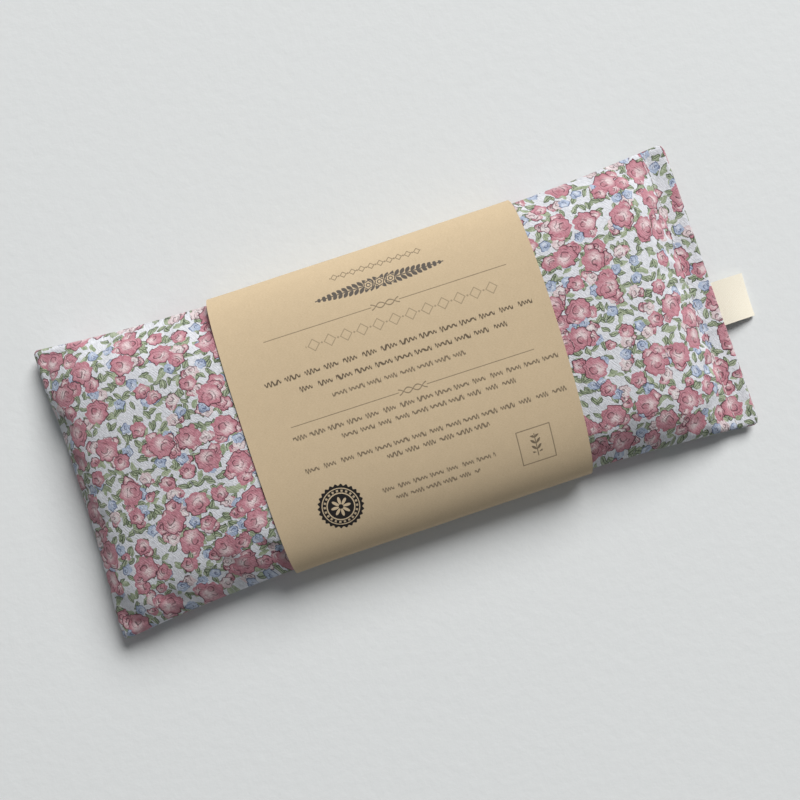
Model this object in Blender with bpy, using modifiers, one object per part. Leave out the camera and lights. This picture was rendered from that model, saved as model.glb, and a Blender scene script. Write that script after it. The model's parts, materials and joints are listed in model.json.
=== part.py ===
"""Seed-filled eye pillow in a printed cotton cover, wrapped in a kraft paper belly band.

Metres, +Z up. The pillow lies on its underside with its long side along X and its sewn-in
label at the +X end. The origin is the centre of the whole object's underside.
Run with: blender --background --python part.py
"""

import math

import bmesh
import bpy
from mathutils import Euler, Matrix, Vector

# Pillow, filled
LENGTH = 0.222  # between the two end seams
WIDTH = 0.1005  # across the ends, where the cover lies flat
WAIST = 0.0915  # across the middle, where the filling draws the sides in
CROWN = 0.0235  # height of the middle of the upper panel
SEAM_HEIGHT = 0.005
CLOSED_MARGIN = 0.008  # flat strip outside the closing stitch, at the +X end

# Cotton cover
CLOTH = 0.00035
SEAM_ALLOWANCE = 0.006  # turned in along every side of both panels
ALLOWANCE_LEVEL = 0.0006  # of the turned-in strip, above or below the seam's plane
RIM_LEVEL = 0.0011  # of the panel's edge, above or below the seam's plane
GAP = 0.0003
THREAD = 0.0004

# Filling
SEED_SIDE = 0.0025  # of the seed mass inside the seams
SEED_END = 0.004
BUD_LENGTH = 0.005
BUD_WIDTH = 0.002
BUD_COUNT = 24
BUD_DEPTH = 0.0017  # of the buds under the upper panel
BUD_LAYER = 0.0048  # depth of the seed mass under it, which leaves room for the buds

# Side label, a folded cotton tape
TAPE = 0.0003
LABEL_WIDTH = 0.015
LABEL_OUT = 0.0115
LABEL_Y = -0.0075
LABEL_LAYER = 0.0002  # of each half of the folded tape, above or below the seam's plane
LABEL_HINGE = 0.0009  # outside the end seam

# Paper belly band
PAPER = 0.00025
BAND_LENGTH = 0.102  # along the pillow
BAND_X = 0.001  # centre, from the pillow's centre
BAND_LAP = 0.014  # of the two ends, under the pillow
LAP_GAP = 0.0001
BAND_TAPE = 0.0001
BAND_SLACK = 0.0004  # between the paper and the cloth, at the sides and on top
BAND_LIFT = 0.0011  # how far the pillow's underside stands off the floor inside the band
LIFT_RUN = 0.010  # length of the slope from there down to the floor

SIDE_POWER = 2.6  # superellipse across the pillow: 2 is an ellipse, more is squarer
END_POWER = 4.0  # the same, along it
FOLDED_END = 0.5  # how blunt the filling is at each end: 0.5 is as round as an ellipse
CLOSED_END = 0.72
PILLOW_X = -LABEL_OUT / 2  # the pillow's centre, so that the origin is the whole object's
HALF = LENGTH / 2
FILL_HALF = (LENGTH - CLOSED_MARGIN) / 2
FILL_CENTRE = -CLOSED_MARGIN / 2


def clear_scene():
    for obj in list(bpy.data.objects):
        bpy.data.objects.remove(obj, do_unlink=True)


def new_collection(name):
    collection = bpy.data.collections.new(name)
    bpy.context.scene.collection.children.link(collection)
    return collection


def material(name, colour, roughness):
    made = bpy.data.materials.new(name)
    made.use_nodes = True
    shader = made.node_tree.nodes["Principled BSDF"]
    shader.inputs["Base Color"].default_value = (*colour, 1)
    shader.inputs["Roughness"].default_value = roughness
    shader.inputs["Metallic"].default_value = 0
    return made


def add_object(name, data, finish, parts, centre):
    """A new part in the pillow's own frame, carried by the empty at the pillow's centre."""
    obj = bpy.data.objects.new(name, data)
    obj.data.materials.append(finish)
    obj.parent = centre
    parts.objects.link(obj)
    return obj


def mesh_of(bm, name):
    mesh = bpy.data.meshes.new(name)
    bm.to_mesh(mesh)
    bm.free()
    return mesh


# ---- the pillow's form ----------------------------------------------------------------


def half_width(x):
    return WAIST / 2 + (WIDTH - WAIST) / 2 * min(abs(x) / HALF, 1) ** 3


def fullness_along(x):
    """1 over the middle of the filled length, falling to 0 at its two ends."""
    share = min(abs((x - FILL_CENTRE) / FILL_HALF), 1)
    return (1 - share**END_POWER) ** (FOLDED_END if x < FILL_CENTRE else CLOSED_END)


def fullness_across(share):
    return max(1 - abs(share) ** SIDE_POWER, 0) ** (1 / SIDE_POWER)


def smooth_step(t):
    t = min(max(t, 0), 1)
    return t * t * (3 - 2 * t)


def underside(x):
    """Height of the floor, or of the paper on it, below the pillow."""
    past_band = abs(x - BAND_X) - BAND_LENGTH / 2
    return BAND_LIFT * (1 - smooth_step((past_band - GAP) / LIFT_RUN))


def upper_height(x, share, inset=0.0):
    rim = SEAM_HEIGHT + RIM_LEVEL
    return rim + (CROWN - inset - rim) * fullness_along(x) * fullness_across(share)


def lower_bulge(x, share):
    rim = SEAM_HEIGHT - RIM_LEVEL
    return rim - 1.35 * rim * fullness_along(x) ** 0.7 * fullness_across(share)


def lower_height(x, share):
    """The underside bulges past the floor and is flattened by it."""
    return max(lower_bulge(x, share), underside(x) + CLOTH / 2)


def filling_top(x, share):
    return upper_height(x, share, BUD_LAYER)


def filling_bottom(x, share):
    """Flattened at one level all along, just inside the cover where that is lifted most."""
    return max(lower_bulge(x, share), BAND_LIFT + CLOTH / 2) + CLOTH / 2 + GAP


# ---- cover panels ---------------------------------------------------------------------


def stations(count, extra=()):
    """Grid lines across a panel, closer together near its edges, as (position, fold).

    The position runs from -1 to 1. Fold 0 is on the panel, 1 is the fold at the seam and
    2 is the inner edge of the strip that is turned in.
    """
    panel = [math.sin(math.pi / 2 * (2 * k / count - 1)) for k in range(count + 1)]
    lines = [(p, 0) for p in panel] + [(p, 0) for p in extra]
    return [(-1, 2), (-1, 1)] + lines + [(lines[-1][0], 1), (lines[-1][0], 2)]


def station_of(value, count):
    """Which grid line a corner of the unit grid lies on."""
    return round((value + 0.5) * count)


def panel_point(along, across, height):
    """Where a grid corner goes, given its station in each direction."""
    x_share, x_fold = along
    y_share, y_fold = across
    x = min(FILL_CENTRE + FILL_HALF * x_share, HALF)
    y = half_width(x) * y_share
    side = 1 if height is upper_height else -1
    if x_fold == 0 and y_fold == 0:
        z = height(x, y_share)
    else:
        z = SEAM_HEIGHT + side * ALLOWANCE_LEVEL
    if x_fold == 2:
        x -= math.copysign(SEAM_ALLOWANCE, x_share)
    if y_fold == 2:
        y -= math.copysign(SEAM_ALLOWANCE, y_share)
    return Vector((x, y, z))


def cover_panel(name, height, finish, parts, centre):
    """One printed panel with its seam allowances turned in, cut away at the corners."""
    closed_end = 1 + CLOSED_MARGIN / FILL_HALF
    columns = stations(30, extra=(closed_end,))
    rows = stations(18)
    bm = bmesh.new()
    bmesh.ops.create_grid(
        bm, x_segments=len(columns) - 1, y_segments=len(rows) - 1, size=0.5
    )
    doomed = []
    for face in bm.faces:
        corners = [
            (
                columns[station_of(v.co.x, len(columns) - 1)],
                rows[station_of(v.co.y, len(rows) - 1)],
            )
            for v in face.verts
        ]
        x_fold = max(c[0][1] for c in corners)
        y_fold = max(c[1][1] for c in corners)
        x = sum(panel_point(*c, height).x for c in corners) / 4
        y = sum(panel_point(*c, height).y for c in corners) / 4
        near_end = min(HALF + x, HALF - x) < SEAM_ALLOWANCE + 0.001
        near_side = half_width(x) - abs(y) < SEAM_ALLOWANCE + 0.001
        if x_fold and y_fold:
            doomed.append(face)
        elif (y_fold == 2 and near_end) or (x_fold == 2 and near_side):
            doomed.append(face)
    bmesh.ops.delete(bm, geom=doomed, context="FACES")
    for v in bm.verts:
        along = columns[station_of(v.co.x, len(columns) - 1)]
        across = rows[station_of(v.co.y, len(rows) - 1)]
        v.co = panel_point(along, across, height)
    bmesh.ops.remove_doubles(bm, verts=bm.verts, dist=1e-6)
    obj = add_object(name, mesh_of(bm, name), finish, parts, centre)
    cloth = obj.modifiers.new("cloth", "SOLIDIFY")
    cloth.thickness = CLOTH
    cloth.offset = 0
    cloth.use_even_offset = True
    return obj


# ---- filling --------------------------------------------------------------------------


def seed_half(height, side_inset, end_inset):
    """Upper or lower half of the seed mass, as an open sheet that ends on the seam's plane.

    Its profile along the pillow is the cover's, drawn in by the end inset.
    """
    columns = [math.sin(math.pi / 2 * (2 * k / 28 - 1)) for k in range(29)]
    rows = [math.sin(math.pi / 2 * (2 * k / 14 - 1)) for k in range(15)]
    bm = bmesh.new()
    bmesh.ops.create_grid(bm, x_segments=28, y_segments=14, size=0.5)
    widest = WAIST / 2 - side_inset
    for v in bm.verts:
        x_share = columns[station_of(v.co.x, 28)]
        y_share = rows[station_of(v.co.y, 14)]
        rounding = (1 - abs(x_share) ** 12) ** 0.5
        x = FILL_CENTRE + (FILL_HALF - end_inset) * x_share
        rim = abs(y_share) == 1 or abs(x_share) == 1
        under_cover = FILL_CENTRE + FILL_HALF * x_share
        z = SEAM_HEIGHT if rim else height(under_cover, y_share)
        v.co = Vector((x, y_share * widest * (0.93 + 0.07 * rounding), z))
    return bm


def seed_filling(finish, parts, cutters, centre):
    """The mass of linseed, slotted round its rim where the cover's seam allowances lie."""
    bm = seed_half(filling_top, SEED_SIDE, SEED_END)
    lower = seed_half(filling_bottom, SEED_SIDE, SEED_END)
    bmesh.ops.reverse_faces(lower, faces=lower.faces)
    sheet = mesh_of(lower, "lower_half")
    bm.from_mesh(sheet)
    bpy.data.meshes.remove(sheet)
    bmesh.ops.remove_doubles(bm, verts=bm.verts, dist=1e-6)
    bmesh.ops.recalc_face_normals(bm, faces=bm.faces)
    obj = add_object("seed_filling", mesh_of(bm, "seed_filling"), finish, parts, centre)

    # The cutter is a flat frame: a slab with the space inside the allowances left out
    slab = bmesh.new()
    inner_x = HALF - SEAM_ALLOWANCE - 0.0012
    inner_y = WAIST / 2 - SEAM_ALLOWANCE - 0.0012
    bmesh.ops.create_grid(slab, x_segments=1, y_segments=1, size=0.5)
    for v in slab.verts:
        v.co = Vector((v.co.x * (LENGTH + 0.02), v.co.y * (WIDTH + 0.02), 0))
    rim = bmesh.ops.inset_region(
        slab, faces=slab.faces[:], thickness=0.01, use_boundary=True
    )
    middle = [f for f in slab.faces if f not in rim["faces"]]
    for v in middle[0].verts:
        v.co = Vector(
            (math.copysign(inner_x, v.co.x), math.copysign(inner_y, v.co.y), 0)
        )
    bmesh.ops.delete(slab, geom=middle, context="FACES_ONLY")
    cutter = bpy.data.objects.new("allowance_slot", mesh_of(slab, "allowance_slot"))
    cutter.parent = centre
    cutter.location.z = SEAM_HEIGHT
    cutters.objects.link(cutter)
    depth = cutter.modifiers.new("depth", "SOLIDIFY")
    depth.thickness = 2 * (ALLOWANCE_LEVEL + CLOTH / 2 + GAP)
    depth.offset = 0
    cutter.hide_render = True
    cutter.display_type = "WIRE"
    slot = obj.modifiers.new("allowance slot", "BOOLEAN")
    slot.operation = "DIFFERENCE"
    slot.solver = "EXACT"
    slot.object = cutter
    return obj


def lavender_buds(finish, parts, centre):
    """Dried buds scattered by the golden angle in the layer between seeds and cover."""
    bm = bmesh.new()
    bmesh.ops.create_uvsphere(bm, u_segments=8, v_segments=6, radius=0.5)
    bmesh.ops.scale(bm, verts=bm.verts, vec=(BUD_LENGTH, BUD_WIDTH, BUD_WIDTH))
    mesh = mesh_of(bm, "lavender_bud")
    mesh.shade_smooth()
    mesh.materials.append(finish)
    golden = math.pi * (3 - math.sqrt(5))
    for k in range(BUD_COUNT):
        reach = math.sqrt((k + 0.5) / BUD_COUNT)
        x = FILL_CENTRE + 0.078 * reach * math.cos(k * golden)
        y = 0.024 * reach * math.sin(k * golden)
        share = y / half_width(x)
        step = 0.001
        rise = upper_height(x + step, share) - upper_height(x - step, share)
        slope = math.atan2(rise, 2 * step)
        bud = bpy.data.objects.new(f"lavender_bud_{k + 1:02d}", mesh)
        bud.parent = centre
        middle = upper_height(x, share) - BUD_DEPTH - BUD_WIDTH / 2
        bud.location = (x, y, middle)
        turn = Euler((0, 0, 2.4 * k)).to_matrix().to_4x4()
        lean = Matrix.Rotation(-slope, 4, "Y")
        bud.matrix_local = Matrix.Translation(bud.location) @ lean @ turn
        parts.objects.link(bud)


# ---- threads --------------------------------------------------------------------------


def thread(name, points, finish, parts, centre):
    curve = bpy.data.curves.new(name, "CURVE")
    curve.dimensions = "3D"
    curve.bevel_depth = THREAD / 2
    curve.bevel_resolution = 2
    curve.use_fill_caps = True
    spline = curve.splines.new("POLY")
    spline.points.add(len(points) - 1)
    for knot, point in zip(spline.points, points):
        knot.co = (*point, 1)
    return add_object(name, curve, finish, parts, centre)


def seam_thread(finish, parts, centre):
    """The inside seam: along one side, round the folded end and back along the other."""
    inset = CLOTH / 2 + GAP + THREAD / 2
    start = HALF - CLOSED_MARGIN - 0.003
    end = -HALF + inset
    steps = 30
    side = [start + (end - start) * k / steps for k in range(steps + 1)]
    one = [Vector((x, half_width(x) - inset, SEAM_HEIGHT)) for x in side]
    other = [Vector((p.x, -p.y, p.z)) for p in reversed(one)]
    corner = 0.0015  # the thread turns each corner on a short chamfer
    one[-1].x += corner
    other[0].x += corner
    across = [
        Vector((end, one[-1].y - corner, SEAM_HEIGHT)),
        Vector((end, -one[-1].y + corner, SEAM_HEIGHT)),
    ]
    return thread("seam_thread", one + across + other, finish, parts, centre)


def closing_threads(finish, parts, centre):
    """Needle and bobbin threads of the stitch that closes the +X end."""
    x = HALF - CLOSED_MARGIN + 0.001
    reach = WIDTH / 2 - 0.0015
    level = RIM_LEVEL + CLOTH / 2 + LAP_GAP + THREAD / 2
    for name, z in (
        ("closing_thread_upper", SEAM_HEIGHT + level),
        ("closing_thread_lower", SEAM_HEIGHT - level),
    ):
        ends = [Vector((x, -reach, z)), Vector((x, reach, z))]
        thread(name, ends, finish, parts, centre)


# ---- side label -----------------------------------------------------------------------


def strip(name, line, thickness, width, y, finish, parts, centre):
    """A flat strip of even thickness: a line in XZ drawn out along Y."""
    bm = bmesh.new()
    knots = [bm.verts.new((p[0], y - width / 2, p[1])) for p in line]
    edges = [bm.edges.new(pair) for pair in zip(knots, knots[1:])]
    drawn = bmesh.ops.extrude_edge_only(bm, edges=edges)
    moved = [g for g in drawn["geom"] if isinstance(g, bmesh.types.BMVert)]
    bmesh.ops.translate(bm, verts=moved, vec=(0, width, 0))
    obj = add_object(name, mesh_of(bm, name), finish, parts, centre)
    body = obj.modifiers.new("thickness", "SOLIDIFY")
    body.thickness = thickness
    body.offset = 0
    body.use_even_offset = True
    return obj


def side_label(finish, parts, centre):
    """The tape's two ends lie in the seam; the folded loop outside it flaps on its hinge."""
    inner = HALF - SEAM_ALLOWANCE
    outer = HALF + 0.0003
    for name, side in (("label_tail_upper", 1), ("label_tail_lower", -1)):
        z = SEAM_HEIGHT + side * LABEL_LAYER
        line = [(inner, z), (outer, z)]
        strip(name, line, TAPE, LABEL_WIDTH, LABEL_Y, finish, parts, centre)

    hinge = HALF + LABEL_HINGE
    tip = HALF + LABEL_OUT - LABEL_LAYER - TAPE / 2
    steps = 6
    fold = [
        (
            tip + LABEL_LAYER * math.sin(math.pi * k / steps),
            SEAM_HEIGHT + LABEL_LAYER * math.cos(math.pi * k / steps),
        )
        for k in range(steps + 1)
    ]
    above = [(hinge, SEAM_HEIGHT + LABEL_LAYER)]
    below = [(hinge, SEAM_HEIGHT - LABEL_LAYER)]
    line = above + fold + below
    strip("label_loop", line, TAPE, LABEL_WIDTH, LABEL_Y, finish, parts, centre)


# ---- paper band -----------------------------------------------------------------------


def paper_over_side():
    """The paper's middle line from the floor out round one side seam and up to the top."""
    half = half_width(abs(BAND_X) + BAND_LENGTH / 2)
    shares = [math.sin(math.pi / 2 * k / 12) for k in range(13)]
    floor = underside(BAND_X) + CLOTH / 2 + 1e-6
    below = [(half * s, lower_height(FILL_CENTRE, s)) for s in shares]
    above = [(half * s, upper_height(FILL_CENTRE, s)) for s in reversed(shares)]
    section = [p for p in below if p[1] > floor] + above
    off_cloth = CLOTH / 2 + BAND_SLACK + PAPER / 2
    line = []
    for k, (y, z) in enumerate(section):
        before = section[max(k - 1, 0)]
        after = section[min(k + 1, len(section) - 1)]
        along = Vector((after[0] - before[0], after[1] - before[1])).normalized()
        if k == len(section) - 1:
            along = Vector((-1, 0))
        line.append((y + along.y * off_cloth, z - along.x * off_cloth))
    return line


def band_section():
    """The strip's middle line in YZ, from its inner end under the pillow to its outer end."""
    inner_level = 1.5 * PAPER + 2 * LAP_GAP + BAND_TAPE
    outer_level = PAPER / 2
    lap = BAND_LAP / 2
    side = paper_over_side()
    side = [p for p in side if p[1] > outer_level + 0.0003]
    foot = side[0][0] - 0.002
    inner_end = [(lap, inner_level), (-lap - 0.001, inner_level)]
    left = [(-lap - 0.005, outer_level), (-foot, outer_level)]
    left += [(-y, z) for y, z in side]
    right = list(reversed(side[:-1])) + [(foot, outer_level)]
    return inner_end + left + right + [(-lap, outer_level)]


def belly_band(finish, tape_finish, parts, centre):
    bm = bmesh.new()
    first = BAND_X - BAND_LENGTH / 2
    knots = [bm.verts.new((first, y, z)) for y, z in band_section()]
    edges = [bm.edges.new(pair) for pair in zip(knots, knots[1:])]
    drawn = bmesh.ops.extrude_edge_only(bm, edges=edges)
    moved = [g for g in drawn["geom"] if isinstance(g, bmesh.types.BMVert)]
    bmesh.ops.translate(bm, verts=moved, vec=(BAND_LENGTH, 0, 0))
    obj = add_object("belly_band", mesh_of(bm, "belly_band"), finish, parts, centre)
    paper = obj.modifiers.new("paper", "SOLIDIFY")
    paper.thickness = PAPER
    paper.offset = 0
    paper.use_even_offset = True

    tape = bmesh.new()
    bmesh.ops.create_cube(tape, size=1)
    size = (BAND_LENGTH - 0.006, BAND_LAP - 0.004, BAND_TAPE)
    bmesh.ops.scale(tape, verts=tape.verts, vec=size)
    mesh = mesh_of(tape, "band_tape")
    held = add_object("band_tape", mesh, tape_finish, parts, centre)
    held.location = (BAND_X, 0, PAPER + LAP_GAP + BAND_TAPE / 2)


def main():
    clear_scene()
    parts = new_collection("eye_pillow")
    cutters = new_collection("cutters")
    centre = bpy.data.objects.new("pillow_centre", None)
    centre.location.x = PILLOW_X
    parts.objects.link(centre)

    cotton = material("printed_cotton", (0.74, 0.62, 0.64), 0.9)
    thread_finish = material("sewing_thread", (0.88, 0.88, 0.86), 0.7)
    seeds = material("linseed", (0.30, 0.15, 0.06), 0.4)
    buds = material("lavender", (0.27, 0.22, 0.42), 0.9)
    tape = material("label_tape", (0.86, 0.80, 0.66), 0.9)
    kraft = material("kraft_paper", (0.60, 0.47, 0.31), 0.85)
    sticky = material("band_adhesive", (0.85, 0.83, 0.75), 0.5)

    cover_panel("cover_top", upper_height, cotton, parts, centre)
    cover_panel("cover_bottom", lower_height, cotton, parts, centre)
    seed_filling(seeds, parts, cutters, centre)
    lavender_buds(buds, parts, centre)
    seam_thread(thread_finish, parts, centre)
    closing_threads(thread_finish, parts, centre)
    side_label(tape, parts, centre)
    belly_band(kraft, sticky, parts, centre)


main()
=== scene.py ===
import json
import math

import bmesh
import bpy
import numpy as np
from mathutils import Matrix, Vector, noise


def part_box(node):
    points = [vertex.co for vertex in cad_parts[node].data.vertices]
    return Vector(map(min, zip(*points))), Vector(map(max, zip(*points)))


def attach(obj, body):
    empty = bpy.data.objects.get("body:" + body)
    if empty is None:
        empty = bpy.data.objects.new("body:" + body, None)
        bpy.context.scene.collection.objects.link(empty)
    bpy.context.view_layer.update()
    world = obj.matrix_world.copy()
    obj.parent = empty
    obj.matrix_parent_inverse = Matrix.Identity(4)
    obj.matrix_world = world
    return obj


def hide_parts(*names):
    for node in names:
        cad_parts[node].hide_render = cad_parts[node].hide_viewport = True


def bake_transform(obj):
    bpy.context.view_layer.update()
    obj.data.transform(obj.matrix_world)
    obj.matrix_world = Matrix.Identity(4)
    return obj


# an eye pillow in a printed cotton cover, with a folded side label and a paper belly band

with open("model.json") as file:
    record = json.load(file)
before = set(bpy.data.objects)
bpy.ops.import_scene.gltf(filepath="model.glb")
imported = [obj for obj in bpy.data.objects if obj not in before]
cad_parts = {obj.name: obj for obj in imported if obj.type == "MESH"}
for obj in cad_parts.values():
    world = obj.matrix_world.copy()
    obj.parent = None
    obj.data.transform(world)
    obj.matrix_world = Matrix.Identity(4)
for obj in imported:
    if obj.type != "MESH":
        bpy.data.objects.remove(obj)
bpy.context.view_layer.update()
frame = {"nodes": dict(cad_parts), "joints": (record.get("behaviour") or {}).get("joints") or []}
scene = bpy.context.scene

mm = 0.001
fullTurn = 6.2832


class Wire:
    # one output socket in a node tree; an expression on it adds its nodes
    def __init__(self, tree, socket=None):
        self.tree = tree
        self.socket = socket

    def make(self, kind, settings=None, sockets=None, out=0):
        node = self.tree.nodes.new(kind)
        for name, value in (settings or {}).items():
            setattr(node, name, value)
        for key, value in (sockets or {}).items():
            if isinstance(value, Wire):
                self.tree.links.new(value.socket, node.inputs[key])
            else:
                node.inputs[key].default_value = value
        return Wire(self.tree, node.outputs[out])

    def other(self, out):
        return Wire(self.tree, self.socket.node.outputs[out])

    def math(self, operation, *values):
        return self.make("ShaderNodeMath", {"operation": operation}, dict(enumerate((self, *values))))

    def __add__(self, value):
        return self.math("ADD", value)

    def __radd__(self, value):
        return self.math("ADD", value)

    def __sub__(self, value):
        return self.math("SUBTRACT", value)

    def __rsub__(self, value):
        return self.make("ShaderNodeMath", {"operation": "SUBTRACT"}, {0: value, 1: self})

    def __mul__(self, value):
        return self.math("MULTIPLY", value)

    def __rmul__(self, value):
        return self.math("MULTIPLY", value)

    def __truediv__(self, value):
        return self.math("DIVIDE", value)

    def __neg__(self):
        return self.math("MULTIPLY", -1.0)

    def __abs__(self):
        return self.math("ABSOLUTE")


def sine(value):
    return value.math("SINE")


def cosine(value):
    return value.math("COSINE")


def lesser(a, b):
    return a.math("MINIMUM", b)


def greater(a, b):
    return a.math("MAXIMUM", b)


def above(value, edge):
    return value.math("GREATER_THAN", edge)


def below(value, edge):
    return value.math("LESS_THAN", edge)


def ease(value, low, high):
    # 0 below low and 1 above high, or the other way round where low is the larger
    return value.make("ShaderNodeMapRange", {"interpolation_type": "SMOOTHSTEP"},
                      {"Value": value, "From Min": low, "From Max": high})


def tint(red, green, blue):
    # a paint-shop colour, 0 to 255, as linear light
    return tuple(c / 12.92 if c <= 0.04045 else ((c + 0.055) / 1.055) ** 2.4
                 for c in (red / 255, green / 255, blue / 255)) + (1.0,)


def paint(under, over, share):
    # over laid on under, as thickly as share says
    return share.make("ShaderNodeMix", {"data_type": "RGBA"}, {0: share, 6: under, 7: over}, out=2)


def shade(colour, amount):
    # colour made lighter or darker by a factor
    colour = colour if isinstance(colour, Wire) else colour[:3]
    return amount.make("ShaderNodeVectorMath", {"operation": "SCALE"}, {0: colour, "Scale": amount})


def parts(value):
    split = value.make("ShaderNodeSeparateXYZ", {}, {0: value})
    return split, split.other(1), split.other(2)


def vector(operation, a, b):
    start = a if isinstance(a, Wire) else b
    return start.make("ShaderNodeVectorMath", {"operation": operation}, {0: a, 1: b})


def grain(plane, scale, detail=2.0, roughness=0.5, out=0):
    return plane.make("ShaderNodeTexNoise", {}, {
        "Vector": plane, "Scale": scale, "Detail": detail, "Roughness": roughness}, out)


def newMaterial(name, roughness=0.8, **fixed):
    made = bpy.data.materials.new(name)
    made.use_nodes = True
    shader = made.node_tree.nodes["Principled BSDF"]
    shader.inputs["Roughness"].default_value = roughness
    for key, value in fixed.items():
        shader.inputs[key.replace("_", " ")].default_value = value
    start = Wire(made.node_tree)
    return made, start, shader


def feed(start, shader, name, value):
    start.tree.links.new(value.socket, shader.inputs[name])


def bumpFrom(start, height, distance, strength):
    sockets = {"Height": height, "Distance": distance, "Strength": strength}
    return start.make("ShaderNodeBump", {}, sockets)


def objectPlane(start):
    return start.make("ShaderNodeTexCoord", {}, {}, out="Object")


def printPlane(start, name):
    # the piece's own flat coordinates, in millimetres
    uv = start.make("ShaderNodeUVMap", {"uv_map": name})
    return uv.make("ShaderNodeVectorMath", {"operation": "SCALE"}, {0: uv, "Scale": 1000.0})


# roses, small flowers and leaves sown over the cotton, sizes in millimetres before the scale
cottonPrint = {
    "scale": 0.89,
    "ground": (219, 221, 227), "groundShade": (198, 202, 211),
    "rose": (198, 143, 154), "roseDeep": (172, 100, 115), "roseLight": (228, 209, 211),
    "roseLine": (60, 28, 40),
    "blush": (222, 208, 210), "blushDeep": (204, 172, 178), "blushLight": (230, 224, 224),
    "blushLine": (88, 64, 72),
    "blue": (179, 192, 214), "blueDeep": (150, 164, 192), "blueLight": (208, 215, 228),
    "blueLine": (78, 90, 124),
    "leaf": (155, 168, 138), "leafLight": (190, 199, 174), "leafDeep": (120, 136, 104),
    "leafLine": (38, 50, 36),
    "roseCell": 14.8, "roseSize": 4.5, "smallRoseCell": 11.0, "smallRoseSize": 3.1,
    "budCell": 8.6, "budSize": 2.45, "blueCell": 8.1, "blueSize": 2.15,
    "leafCell": 5.0, "leafLength": 2.2, "leafWidth": 1.08, "line": 0.45,
    "twillAngle": 0.96,  # radians
}


def scatter(plane, size, jitter, shift):
    # sows one motif in each cell: its place from the motif's middle, turned at random, three
    # random numbers, and the distance to where the next motif starts
    moved = vector("ADD", plane, (shift, shift * 0.37, 0.0))
    sockets = {"Vector": moved, "Scale": 1 / size, "Randomness": jitter}
    cell = moved.make("ShaderNodeTexVoronoi", {"voronoi_dimensions": "2D"}, sockets)
    limit = moved.make("ShaderNodeTexVoronoi",
                       {"voronoi_dimensions": "2D", "feature": "DISTANCE_TO_EDGE"}, sockets) * size
    chance = parts(cell.other("Color"))
    offset = vector("SUBTRACT", moved, cell.other("Position"))
    turned = offset.make("ShaderNodeVectorRotate", {"rotation_type": "Z_AXIS"},
                         {"Vector": offset, "Angle": chance[0] * fullTurn})
    x, y, _ = parts(turned)
    return x, y, chance, limit


def polar(x, y):
    return (x * x + y * y).math("SQRT"), y.math("ARCTAN2", x)


def bloom(under, x, y, size, petals, phase, limit, wash, look, kind, here=None):
    # a painted flower: scalloped rim, a pale wash on one side, a round heart with a curl
    # about it, and a broken outline; its inner lengths are shares of its size
    r, a = polar(x, y)
    scallop = 0.075 * sine(a * petals + phase) + 0.035 * sine(a * 11.0 - phase)
    rim = lesser(size * (1.0 + scallop) - r, limit)
    pale, _ = polar(x - size * 0.12, y - size * 0.26)
    h, b = polar(x - size * 0.16, y + size * 0.16)
    colour = paint(look[kind], look[kind + "Deep"], ease(wash, 0.56, 0.34) * 0.55)
    colour = paint(colour, look[kind + "Deep"], ease(rim, size * 0.42, 0.0) * 0.34)
    paleShare = ease(pale, size * 0.75, size * 0.1) * ease(wash, 0.28, 0.5)
    colour = paint(colour, look[kind + "Light"], paleShare)
    heart = ease(h, size * 0.3, size * 0.22)
    colour = paint(colour, look[kind + "Deep"], heart * 0.5)
    line = look["line"]
    curl = ease(abs(h - size * 0.29), line * 0.62, line * 0.25) * ease(sine(b + phase), -0.5, -0.1)
    fold = ease(abs(h - size * (0.56 + 0.05 * sine(b * 3.0 + phase))), line * 0.5, line * 0.15)
    fold = fold * ease(sine(b * 1.5 - phase), 0.0, 0.4) * ease(rim, size * 0.1, size * 0.2) * 0.75
    broken = ease(sine(a + phase * 1.7) + (wash - 0.5) * 2.2, -0.45, 0.1)
    outline = ease(rim, line * 1.25, line * 0.5) * broken
    colour = paint(colour, look[kind + "Line"], greater(greater(curl, fold) * 0.75, outline * 0.9))
    shown = ease(rim, 0.0, 0.14)
    return paint(under, colour, shown * here if here else shown)


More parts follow.
